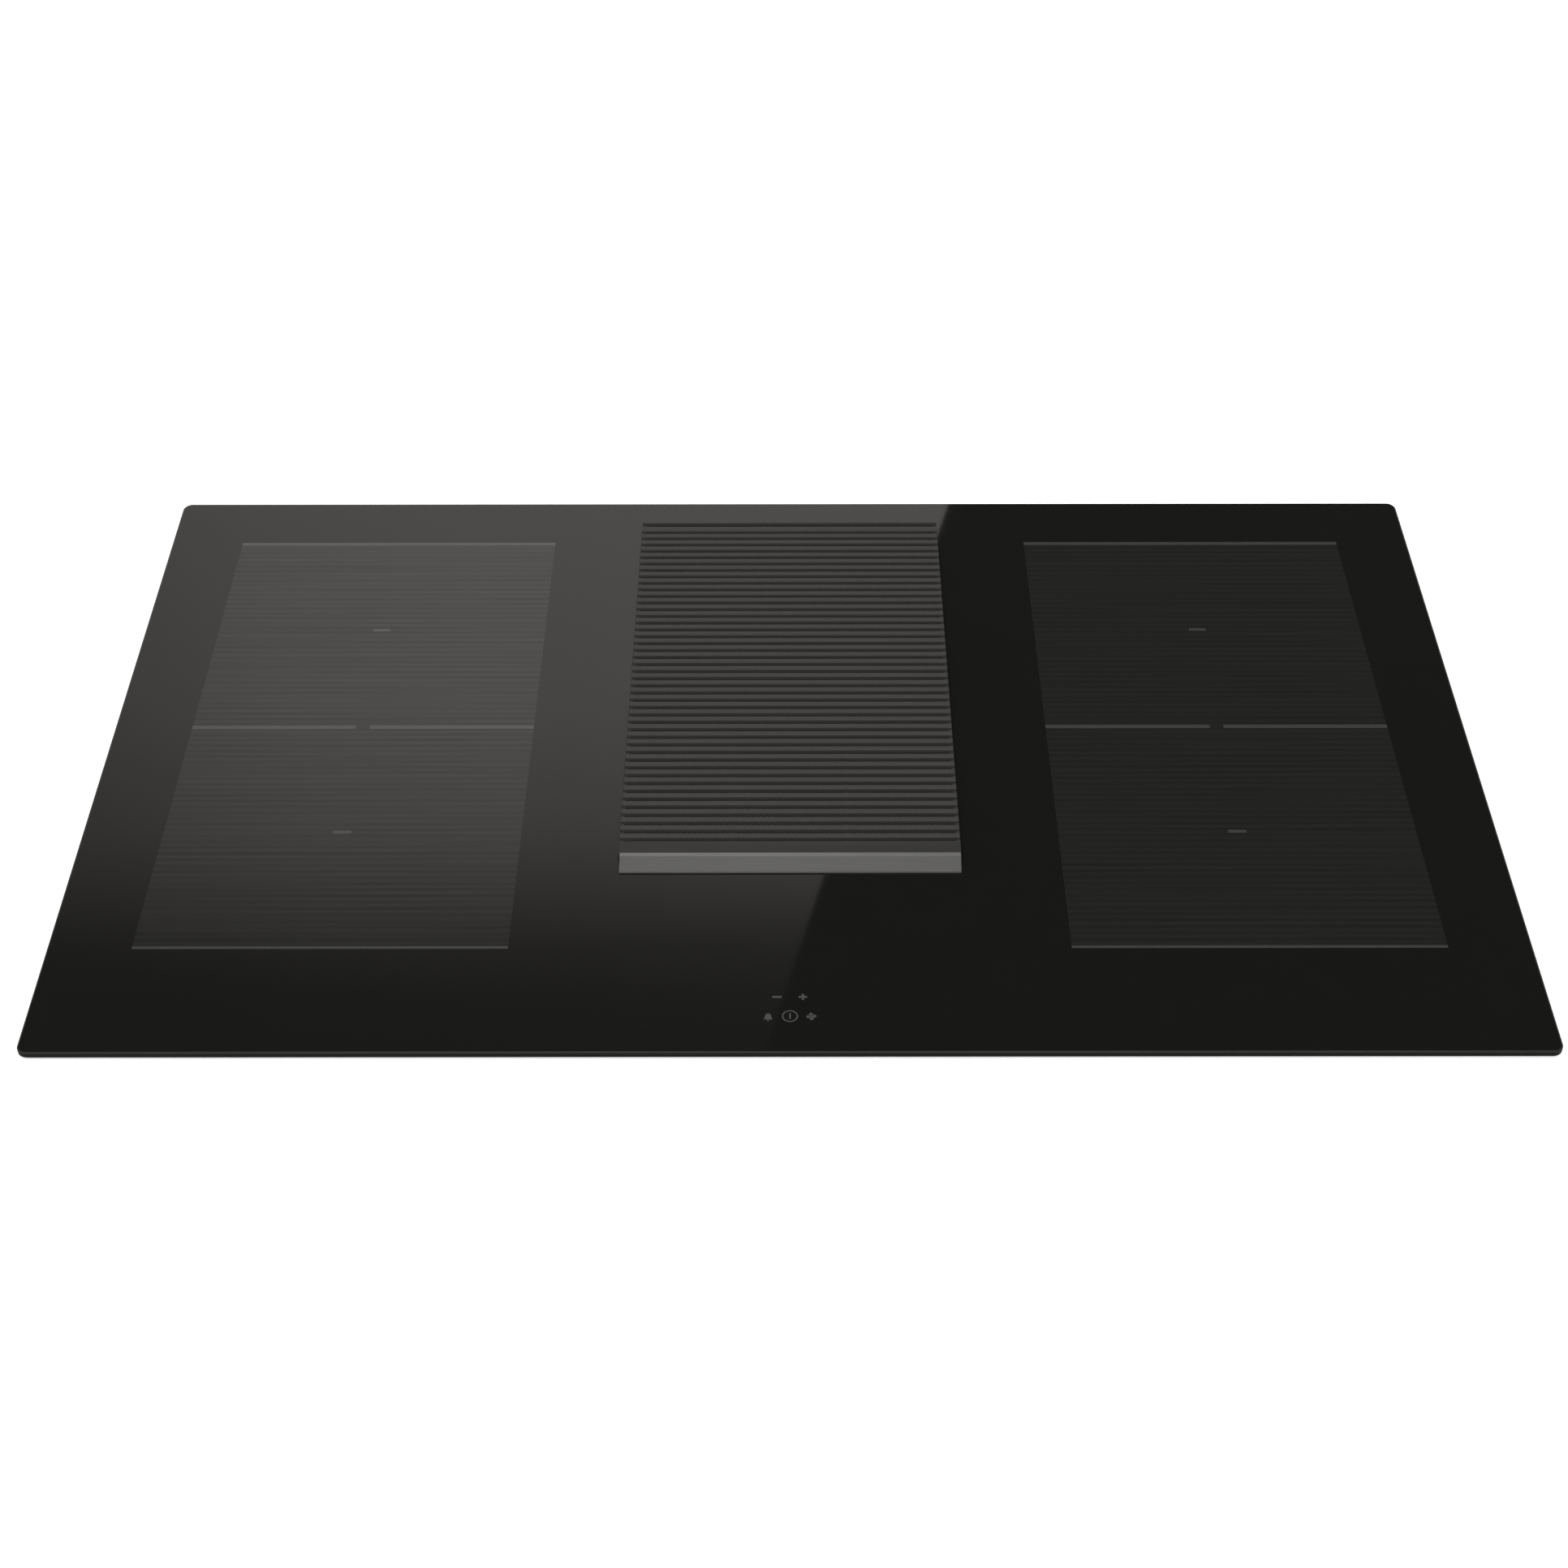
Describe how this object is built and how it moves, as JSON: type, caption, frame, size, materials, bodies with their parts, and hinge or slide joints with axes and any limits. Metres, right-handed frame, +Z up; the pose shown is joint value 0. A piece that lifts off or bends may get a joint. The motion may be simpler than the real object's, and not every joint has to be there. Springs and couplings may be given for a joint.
{
  "type": "downdraft induction cooktop",
  "caption": "Black glass induction hob with bridged cooking zones, a slatted air intake in the middle and a blower case with a rear duct hung under the worktop.",
  "frame": {"origin": "the middle of the worktop's cut-out, level with the worktop's top face", "axes": "+X to the right of the person cooking, +Y to the rear, +Z up; the controls are at -Y and the outlet duct leaves at +Y"},
  "size_m": [0.83, 0.515, 0.2228],
  "materials": {
    "black_glass": "polished black glass ceramic",
    "foam": "dark closed-cell foam tape",
    "silicone": "black silicone",
    "matt_black": "matt black enamel",
    "dark_metal": "anthracite satin coating",
    "bright_steel": "satin zinc-plated steel",
    "galvanised_steel": "galvanised sheet",
    "filter_aluminium": "expanded aluminium mesh",
    "aluminium": "mill finish",
    "copper": "enamelled copper litz winding",
    "mica": "pressed mica sheet",
    "ferrite": "dark moulding with ferrite bars",
    "circuit_board": "green solder mask",
    "fan_plastic": "black moulded plastic",
    "case_plastic": "dark grey fine-grained moulding",
    "blower_plastic": "dark grey moulding",
    "pale_plastic": "pale grey moulding"
  },
  "bodies": {
    "hob": {"glass_plate": "black_glass", "worktop_gasket": "foam", "opening_trim": "silicone", "intake_shaft": "case_plastic", "steel_box_left": "galvanised_steel", "coil_deck_left": "aluminium", "insulation_sheet_left": "mica", "power_board_left": "circuit_board", "heat_sink_left": "aluminium", "cooling_fan_frame_left": "fan_plastic", "coil_carrier_front_left": "ferrite", "induction_coil_front_left": "copper", "heat_sensor_front_left": "pale_plastic", "coil_carrier_rear_left": "ferrite", "induction_coil_rear_left": "copper", "heat_sensor_rear_left": "pale_plastic", "steel_box_right": "galvanised_steel", "coil_deck_right": "aluminium", "insulation_sheet_right": "mica", "power_board_right": "circuit_board", "heat_sink_right": "aluminium", "cooling_fan_frame_right": "fan_plastic", "coil_carrier_front_right": "ferrite", "induction_coil_front_right": "copper", "heat_sensor_front_right": "pale_plastic", "coil_carrier_rear_right": "ferrite", "induction_coil_rear_right": "copper", "heat_sensor_rear_right": "pale_plastic", "touch_tray": "case_plastic", "touch_board": "circuit_board", "extractor_cover": "case_plastic", "extractor_case": "case_plastic", "blower_scroll": "blower_plastic", "blower_lid": "blower_plastic", "blower_motor": "bright_steel", "outlet_duct": "blower_plastic", "flap_pin": "bright_steel", "terminal_housing": "case_plastic", "terminal_block": "pale_plastic", "terminal_cover": "case_plastic", "cable_gland": "case_plastic"},
    "grille": {"grille_slats": "matt_black", "grille_front_bar": "dark_metal", "grille_pad": "silicone"},
    "grease_filter": {"filter_cassette": "bright_steel", "filter_mesh": "filter_aluminium", "filter_handle": "case_plastic"},
    "tray": {"drip_tray": "case_plastic"},
    "impeller": {"blower_impeller": "pale_plastic"},
    "fan_rotor_left": {"cooling_fan_rotor_left": "fan_plastic"},
    "fan_rotor_right": {"cooling_fan_rotor_right": "fan_plastic"},
    "flap": {"non_return_flap": "pale_plastic"},
    "clamp_front_left": {"worktop_clamp_front_left": "bright_steel", "clamp_screw_front_left": "bright_steel"},
    "clamp_rear_left": {"worktop_clamp_rear_left": "bright_steel", "clamp_screw_rear_left": "bright_steel"},
    "clamp_front_right": {"worktop_clamp_front_right": "bright_steel", "clamp_screw_front_right": "bright_steel"},
    "clamp_rear_right": {"worktop_clamp_rear_right": "bright_steel", "clamp_screw_rear_right": "bright_steel"}
  },
  "joints": [
    {"name": "grille_lift", "type": "slide", "parent": "hob", "child": "grille", "axis": [0, 0, 1], "range_m": [0, 0.42]},
    {"name": "filter_lift", "type": "slide", "parent": "hob", "child": "grease_filter", "axis": [0, 0, 1], "range_m": [0, 0.3]},
    {"name": "tray_lift", "type": "slide", "parent": "hob", "child": "tray", "axis": [0, 0, 1], "range_m": [0, 0.231]},
    {"name": "impeller_spin", "type": "hinge", "parent": "hob", "child": "impeller", "pos_m": [0.214, -0.01, -0.15], "axis": [0, 0, 1], "continuous": true},
    {"name": "fan_spin_left", "type": "hinge", "parent": "hob", "child": "fan_rotor_left", "pos_m": [-0.336, -0.195, -0.048], "axis": [0, 0, 1], "continuous": true},
    {"name": "fan_spin_right", "type": "hinge", "parent": "hob", "child": "fan_rotor_right", "pos_m": [0.336, -0.195, -0.048], "axis": [0, 0, 1], "continuous": true},
    {"name": "flap_swing", "type": "hinge", "parent": "hob", "child": "flap", "pos_m": [0.198, 0.162, -0.1105], "axis": [1, 0, 0], "range_deg": [0, 75]},
    {"name": "clamp_travel_front_left", "type": "slide", "parent": "hob", "child": "clamp_front_left", "axis": [0, 0, 1], "range_m": [-0.01, 0.02]},
    {"name": "clamp_travel_rear_left", "type": "slide", "parent": "hob", "child": "clamp_rear_left", "axis": [0, 0, 1], "range_m": [-0.01, 0.02]},
    {"name": "clamp_travel_front_right", "type": "slide", "parent": "hob", "child": "clamp_front_right", "axis": [0, 0, 1], "range_m": [-0.01, 0.02]},
    {"name": "clamp_travel_rear_right", "type": "slide", "parent": "hob", "child": "clamp_rear_right", "axis": [0, 0, 1], "range_m": [-0.01, 0.02]}
  ],
  "couplings": [
    {"joint": "filter_lift", "follows": "grille_lift", "ratio": 0.714},
    {"joint": "tray_lift", "follows": "grille_lift", "ratio": 0.547}
  ]
}
